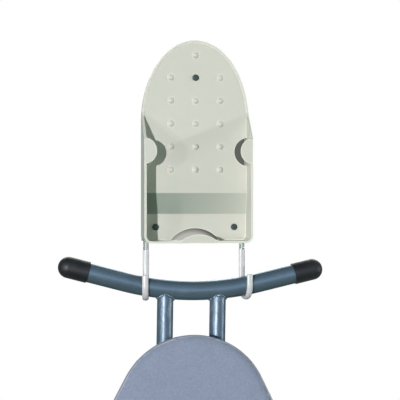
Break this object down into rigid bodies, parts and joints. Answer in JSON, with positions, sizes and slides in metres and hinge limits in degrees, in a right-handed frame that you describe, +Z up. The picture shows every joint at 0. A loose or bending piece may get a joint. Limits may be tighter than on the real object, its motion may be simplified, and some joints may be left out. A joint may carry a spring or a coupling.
{
  "type": "wall-hung ironing board with iron tray",
  "caption": "Folding ironing board with T-shaped tube feet, hung on the wire hooks of a wall-mounted plastic iron tray.",
  "frame": {"origin": "on the wall plane, midway between the two lower wall screws, on the back edge of the tray's lowest rib", "axes": "+X to the right as seen from the room, +Y into the wall, +Z up; the board hangs folded with its nose up"},
  "size_m": [0.4474, 0.1106, 1.6728],
  "materials": {
    "tray_plastic": "moulded, fine satin",
    "zinc_steel": "bright zinc plate",
    "plug_nylon": "moulded nylon",
    "hook_steel": "bright plated wire",
    "hook_coating": "dipped soft vinyl",
    "leg_paint": "metallic blue-grey enamel, gloss",
    "cap_rubber": "moulded, soft sheen",
    "spring_steel": "oiled spring steel",
    "frame_paint": "light grey powder coat",
    "pad_felt": "needled felt",
    "cover_fabric": "plain woven cotton, matt",
    "cover_cord": "braided",
    "lock_plastic": "moulded",
    "grip_plastic": "moulded, fine ribs"
  },
  "bodies": {
    "wall_hanger": {"tray": "tray_plastic", "wall_screws": "zinc_steel", "wall_plugs": "plug_nylon", "hook_wire_right": "hook_steel", "hook_wire_left": "hook_steel", "hook_sleeve_right": "hook_coating", "hook_sleeve_left": "hook_coating"},
    "front_leg": {"front_foot_tube": "leg_paint", "front_foot_cap_right": "cap_rubber", "front_foot_cap_left": "cap_rubber", "front_leg_tube_right": "leg_paint", "front_leg_tube_left": "leg_paint", "front_leg_brace": "leg_paint", "front_pivot_lugs": "leg_paint", "scissor_bolts": "zinc_steel", "scissor_nuts": "zinc_steel", "scissor_spacers": "zinc_steel"},
    "board": {"board_rim": "frame_paint", "board_mesh": "frame_paint", "board_braces": "frame_paint", "pivot_bracket": "zinc_steel", "pivot_pin": "zinc_steel", "pivot_clips": "spring_steel", "rack_rail_right": "zinc_steel", "rack_rail_left": "zinc_steel", "board_pad": "pad_felt", "board_cover": "cover_fabric", "cover_cord": "cover_cord", "cord_lock": "lock_plastic", "keeper_hinge_rod": "zinc_steel"},
    "rear_leg": {"rear_foot_tube": "leg_paint", "rear_foot_cap_right": "cap_rubber", "rear_foot_cap_left": "cap_rubber", "rear_leg_tube_right": "leg_paint", "rear_leg_tube_left": "leg_paint", "rear_leg_brace": "leg_paint", "rear_pivot_lugs": "leg_paint", "crossbar": "zinc_steel", "crossbar_clips": "spring_steel"},
    "release_lever": {"keeper": "zinc_steel", "lever_arm": "leg_paint", "lever_grip": "grip_plastic", "lever_spring": "spring_steel"}
  },
  "joints": [
    {"name": "board_lift", "type": "slide", "parent": "wall_hanger", "child": "front_leg", "axis": [0, 0, 1], "range_m": [0, 0.045]},
    {"name": "leg_fold", "type": "hinge", "parent": "front_leg", "child": "board", "pos_m": [-0.02252, -0.0455, -1.08482], "axis": [0.9999, 0, -0.0157], "range_deg": [0, 56]},
    {"name": "rear_leg_fold", "type": "hinge", "parent": "front_leg", "child": "rear_leg", "pos_m": [-0.01623, -0.0255, -0.68487], "axis": [0.9999, 0, -0.0157], "range_deg": [0, 112]},
    {"name": "height_release", "type": "hinge", "parent": "board", "child": "release_lever", "pos_m": [0.00214, -0.0375, -0.48314], "axis": [-0.0157, 0, -0.9999], "range_deg": [0, 6], "stiffness_Nm_per_rad": 0.5}
  ],
  "couplings": [
    {"joint": "rear_leg_fold", "follows": "leg_fold", "ratio": 2}
  ]
}
